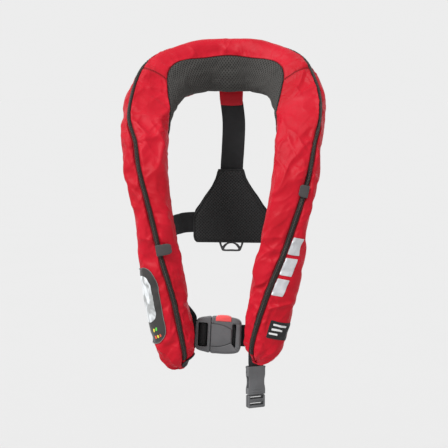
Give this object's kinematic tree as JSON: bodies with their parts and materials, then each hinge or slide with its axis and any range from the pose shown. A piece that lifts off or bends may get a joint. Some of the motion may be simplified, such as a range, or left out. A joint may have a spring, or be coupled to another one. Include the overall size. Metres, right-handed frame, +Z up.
{
  "type": "inflatable life jacket",
  "caption": "Horseshoe-shaped inflatable life jacket worn round the neck, with a back strap and pad, a waist belt with a push-button buckle and a crotch strap buckle.",
  "frame": {"origin": "middle of the neck opening, level with the collar's lower edge", "axes": "+Z up the wearer's trunk, +Y towards the wearer's back, +X to the viewer's right when the jacket is seen from the front"},
  "size_m": [0.3532, 0.2698, 0.643],
  "materials": {
    "red_fabric": "woven polyester, satin",
    "black_fabric": "woven nylon, matt",
    "webbing": "woven polyester webbing",
    "mesh_fabric": "spacer mesh, matt",
    "zip_tape": "coil zip and tape",
    "grey_plastic": "moulded, satin",
    "dark_plastic": "moulded, matt",
    "red_plastic": "moulded, satin",
    "yellow_plastic": "moulded, satin",
    "clear_plastic": "clear flexible sheet",
    "reflective": "retroreflective film",
    "steel": "zinc plated steel",
    "bladder_fabric": "coated nylon"
  },
  "bodies": {
    "jacket": {"cover_outer_left": "red_fabric", "cover_inner_left": "red_fabric", "cover_outer_collar": "red_fabric", "cover_inner_collar": "red_fabric", "cover_outer_right": "red_fabric", "cover_inner_right": "red_fabric", "backing_left": "black_fabric", "backing_right": "black_fabric", "collar_mesh_liner": "mesh_fabric", "burst_zip": "zip_tape", "window_frame": "dark_plastic", "window_lens": "clear_plastic", "reflector_bar_1": "reflective", "reflector_bar_2": "reflective", "reflector_bar_3": "reflective", "woven_label": "black_fabric", "waist_belt": "webbing", "back_strap": "webbing", "strap_anchor_tab": "red_fabric", "back_pad": "mesh_fabric", "back_pad_cover": "black_fabric", "ring_tab": "webbing", "belt_sleeve_left": "black_fabric", "belt_sleeve_right": "black_fabric", "buckle_female": "grey_plastic", "button_spring": "steel", "belt_right_front": "webbing", "crotch_strap_anchor": "webbing", "inflator_body": "dark_plastic", "oral_tube": "dark_plastic", "whistle": "yellow_plastic", "folded_bladder": "bladder_fabric"},
    "waist_male": {"buckle_male": "grey_plastic", "belt_left_front": "webbing"},
    "button": {"buckle_button": "red_plastic"},
    "crotch_upper": {"crotch_webbing": "webbing", "crotch_buckle_female": "grey_plastic"},
    "crotch_lower": {"crotch_buckle_male": "grey_plastic"},
    "ring": {"strap_ring": "dark_plastic"},
    "slider": {"zip_slider": "dark_plastic"},
    "tab_left": {"zip_tab_left": "dark_plastic"},
    "tab_right": {"zip_tab_right": "dark_plastic"},
    "lever": {"manual_lever": "yellow_plastic"},
    "cylinder": {"gas_cylinder": "steel"},
    "capsule": {"automatic_capsule": "yellow_plastic"},
    "tube_cap": {"oral_tube_cap": "dark_plastic"}
  },
  "joints": [
    {"name": "buckle_release", "type": "slide", "parent": "jacket", "child": "waist_male", "axis": [-0.9986, 0, 0.0523], "range_m": [0, 0.022]},
    {"name": "button_press", "type": "slide", "parent": "jacket", "child": "button", "axis": [-0.0523, 0, -0.9986], "range_m": [0, 0.003], "stiffness_N_per_m": 400, "springref_m": -0.002, "deforming": ["button_spring"]},
    {"name": "crotch_strap_swing", "type": "hinge", "parent": "jacket", "child": "crotch_upper", "pos_m": [0.0615, -0.0875, -0.45], "axis": [1, 0, 0], "range_deg": [-45, 60]},
    {"name": "crotch_buckle_release", "type": "slide", "parent": "crotch_upper", "child": "crotch_lower", "axis": [0, 0, -1], "range_m": [0, 0.036]},
    {"name": "strap_ring_swing", "type": "hinge", "parent": "jacket", "child": "ring", "pos_m": [0, 0.1231, -0.264], "axis": [1, 0, 0], "range_deg": [-8, 85]},
    {"name": "zip_slider_travel", "type": "slide", "parent": "jacket", "child": "slider", "axis": [-0.1754, 0.0452, 0.9835], "range_m": [0, 0.05]},
    {"name": "left_tab_peel", "type": "hinge", "parent": "jacket", "child": "tab_left", "pos_m": [-0.104, -0.13874, -0.25671], "axis": [0.1773, -0.045, -0.9831], "range_deg": [0, 110]},
    {"name": "right_tab_peel", "type": "hinge", "parent": "jacket", "child": "tab_right", "pos_m": [0.15248, -0.11929, -0.15687], "axis": [0.2004, 0.2177, 0.9552], "range_deg": [0, 110]},
    {"name": "manual_lever_pull", "type": "hinge", "parent": "jacket", "child": "lever", "pos_m": [-0.06606, -0.11232, -0.37963], "axis": [-0.053, 0.9975, -0.0475], "range_deg": [0, 22]},
    {"name": "cylinder_unscrew", "type": "hinge", "parent": "jacket", "child": "cylinder", "pos_m": [-0.08681, -0.11225, -0.35494], "axis": [-0.18, 0.0373, 0.983], "continuous": true},
    {"name": "capsule_unscrew", "type": "hinge", "parent": "jacket", "child": "capsule", "pos_m": [-0.08681, -0.11225, -0.35494], "axis": [-0.18, 0.0373, 0.983], "continuous": true},
    {"name": "tube_cap_pull", "type": "slide", "parent": "jacket", "child": "tube_cap", "axis": [-0.18, -0.0373, -0.983], "range_m": [0, 0.008]}
  ]
}
